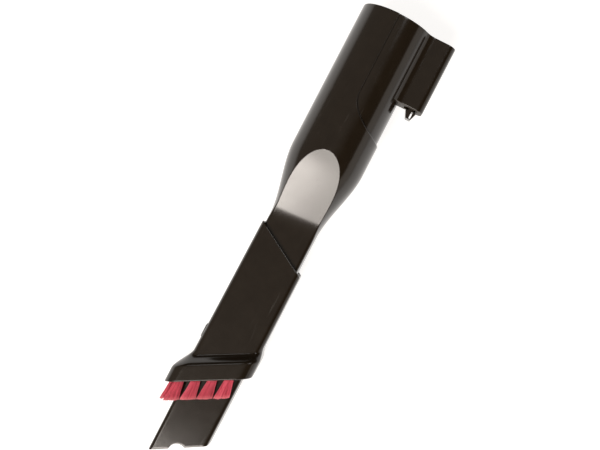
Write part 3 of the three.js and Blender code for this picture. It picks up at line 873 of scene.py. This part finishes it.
def make_bristle_frame():
    """The U-shaped block that the tufts are set in."""
    inner = 9.75
    right, left = FRAME_RIGHT - FRAME_CORNER, FRAME_LEFT + FRAME_CORNER
    outline = [(FRAME_RIGHT, -inner), (FRAME_INNER_LEFT, -inner)]
    outline += [(FRAME_INNER_LEFT, inner), (FRAME_RIGHT, inner)]
    for start, x, side in ((0, right, 1), (90, left, 1), (180, left, -1), (270, right, -1)):
        for a in np.radians(start + np.linspace(0, 90, 9)):
            z = side * (FRAME_HALF - FRAME_CORNER) + FRAME_CORNER * math.sin(a)
            outline.append((x + FRAME_CORNER * math.cos(a), z))
    rings = [slanted(outline, centre, BRUSH_SLANT) for centre in (FRAME_TOP, FRAME_BOTTOM)]
    made = smooth_object("brush_block", loft("brush_block", rings), SATIN, 30)
    for name, x, z in tuft_places():
        bottom = HOLE_BOTTOM + BRUSH_SLANT * x
        ring = [(x + HOLE_RADIUS * math.cos(a), z + HOLE_RADIUS * math.sin(a))
                for a in np.linspace(0, 2 * math.pi, 28, endpoint=False)]
        hole = loft("hole_" + name, [[(px, -s, pz) for px, pz in ring] for s in (bottom, bottom + 12)])
        cut(made, hole)
    smooth_shaded(made.data, 30)
    bevelled(made, 0.25, 2)
    return finished(made, "sleeve", "satin_plastic", "bristle_frame")


def make_tuft(name, x, z, random_source):
    """A fan of crimped filaments, cut off on the brush's slant."""
    count, sections, thick = 320, 7, 0.11
    # How far the fan leans in x and z, and how much wider than its root it ends.
    if name.startswith("side"):
        lean_x, lean_z, widen_x, widen_z = -0.6, 0.0, 1.25, 2.2
    else:
        lean_x, lean_z, widen_x, widen_z = 0.75, math.copysign(0.35, z), 2.3, 1.55
    points, along, faces = [], [], []
    for _ in range(count):
        turn = random_source.uniform(0, 2 * math.pi)
        reach = TUFT_RADIUS * math.sqrt(random_source.random())
        across, deep = reach * math.cos(turn), reach * math.sin(turn)
        loose = random_source.gauss(0, 0.12), random_source.gauss(0, 0.12)
        end_x = x + lean_x + widen_x * across + loose[0]
        end_z = z + lean_z + widen_z * deep + loose[1]
        start_s = TUFT_ROOT + BRUSH_SLANT * (x + across)
        end_s = TUFT_TRIM + BRUSH_SLANT * end_x + random_source.gauss(0, 0.16)
        phase = random_source.uniform(0, 2 * math.pi)
        crimp = random_source.uniform(0.04, 0.1)
        first = len(points)
        for k in range(sections):
            t = k / (sections - 1)
            bend = t**1.15
            wave_x = crimp * math.sin(phase + 9 * t) * min(1, 3 * t)
            px = x + across + (end_x - x - across) * bend + wave_x
            wave_z = crimp * math.cos(phase + 8 * t) * min(1, 3 * t)
            pz = z + deep + (end_z - z - deep) * bend + wave_z
            ps = start_s + (end_s - start_s) * t
            for a in (0, 90, 180, 270):
                a = math.radians(a) + phase
                points.append((px + thick * math.cos(a), -ps, pz + thick * math.sin(a)))
                along.append(t)
        for k in range(sections - 1):
            for c in range(4):
                low, high = first + 4 * k, first + 4 * k + 4
                faces.append((low + c, low + (c + 1) % 4, high + (c + 1) % 4, high + c))
        last = first + 4 * (sections - 1)
        faces.append((last, last + 1, last + 2, last + 3))
        faces.append((first, first + 1, first + 2, first + 3))
    piece = "bristles_" + name
    mesh = mesh_of(piece, points, faces, merge=0)
    attribute = mesh.attributes.new("along", "FLOAT", "POINT")
    attribute.data.foreach_set("value", along)
    made = smooth_object(piece, mesh, BRISTLE, 60)
    return finished(made, "sleeve", "bristle", "tuft_" + name)


make_nozzle_body()
make_collar_pipe()
make_tongue()
make_latch_box()
make_latch_cover()
make_latch_lever()
make_sleeve()
make_button()
make_bristle_frame()
bristle_source = random.Random(5)
for tuft_name, tuft_x, tuft_z in tuft_places():
    make_tuft(tuft_name, tuft_x, tuft_z, bristle_source)


# ---- Stage ----
def make_stage():
    """A plain pale floor with a painted glow, brighter near the tool, that fills in the tool's shadow."""
    mesh = bpy.data.meshes.new("floor")
    size = 4.0
    corners = [(-size, -size, 0), (size, -size, 0), (size, size, 0), (-size, size, 0)]
    mesh.from_pydata(corners, [], [(0, 1, 2, 3)])
    floor = bpy.data.objects.new("floor", mesh)
    bpy.context.scene.collection.objects.link(floor)
    n = Nodes(bpy.data.materials.new("pale_floor"))
    at = n.place()
    tone = n.ramp(n.noise(3.0, 2.0, 0.5, at), 0.3, 0.7, 0.0, 1.0)
    n.set(Base_Color=n.mix(tone, (0.39, 0.385, 0.38, 1), (0.41, 0.405, 0.4, 1)), Roughness=0.8)
    away = n.add("ShaderNodeVectorMath", {0: at}, operation="LENGTH").outputs["Value"]
    # Painted glow: the floor gives off light, most near the tool, so that the tool's shadow on it washes out.
    glow = n.ramp(away, 0.18, 0.5, 0.86, 0.45)
    n.set(Emission_Color=(1, 0.985, 0.97, 1), Emission_Strength=glow)
    mesh.materials.append(n.material)


def softbox(name, direction, distance, width, height, radiance, tint=(1, 1, 1)):
    """An area light at a distance in metres, in a direction of the tool frame, facing the tool's middle."""
    data = bpy.data.lights.new(name, "AREA")
    data.shape, data.size, data.size_y = "RECTANGLE", width, height
    data.energy = radiance * width * height * math.pi
    data.color = tint
    lamp = bpy.data.objects.new(name, data)
    bpy.context.scene.collection.objects.link(lamp)
    middle = TOOL @ Vector((0, -0.1, 0))
    towards = (TOOL.to_3x3() @ Vector(direction)).normalized()
    lamp.location = middle + towards * distance
    lamp.rotation_mode = "QUATERNION"
    lamp.rotation_quaternion = towards.to_track_quat("Z", "Y")


def make_world():
    """A dim studio: soft from above and the left, dark high on the right, with a low white wall there."""
    world = bpy.data.worlds.new("studio")
    bpy.context.scene.world = world
    n = Nodes(world)
    direction = n.add("ShaderNodeTexCoord").outputs["Generated"]
    parts = n.add("ShaderNodeSeparateXYZ", {"Vector": direction}).outputs
    # The angle from straight above, towards the right.
    turn = n.math("ARCTAN2", parts["X"], parts["Z"])
    above = n.ramp(turn, math.radians(6), math.radians(34), 0.27, 0.02)
    wall = n.ramp(turn, math.radians(68), math.radians(70), 0.0, 0.85)
    light = n.math("MULTIPLY", n.math("ADD", above, wall), n.ramp(parts["Y"], 0.3, 0.5, 1.0, 0.12))
    tinted = n.add("ShaderNodeVectorMath", {0: (1.0, 0.93, 0.86)}, operation="SCALE")
    n.put(tinted.inputs["Scale"], light)
    seen = n.add("ShaderNodeLightPath").outputs["Is Camera Ray"]
    colour = n.mix(seen, tinted.outputs[0], (0.72, 0.71, 0.70, 1))
    n.put(world.node_tree.nodes["Background"].inputs["Color"], colour)


def make_lights():
    """Two lamps beyond the tip, for the facet and the flat nozzle, and two beyond the mouth, for the tube."""
    warm = (1.0, 0.93, 0.865)
    facet_direction = (-0.12, -math.tan(math.radians(37.5)), 1.0)
    nozzle_direction = (-0.085, -math.tan(math.radians(25.5)), 1.0)
    softbox("tip_softbox", facet_direction, distance=1.5, width=1.0, height=0.86, radiance=9.3, tint=warm)
    softbox("tip_lamp", nozzle_direction, distance=1.4, width=0.13, height=0.14, radiance=13.0, tint=warm)
    softbox("mouth_right_lamp", (0.35, 0.61, 1.0), distance=1.4, width=0.42, height=0.42, radiance=4.5)
    softbox("mouth_left_lamp", (-0.75, 0.8, 1.0), distance=1.4, width=0.16, height=0.16, radiance=5.0)


def dress_cad_nodes():
    """Gives the CAD nodes that still show the material of their slot."""
    looks = {"black_plastic": GLOSS, "satin_plastic": SATIN, "steel": STEEL, "bristle": BRISTLE}
    slots = {part["node"]: part["material_slot"] for part in frame["record"]["subparts"]}
    for name, node in frame["nodes"].items():
        if node.hide_render:
            continue
        node.data.materials.clear()
        node.data.materials.append(looks[slots[name]])


make_stage()
make_world()
make_lights()
bpy.context.scene.view_settings.view_transform = "Standard"
dress_cad_nodes()
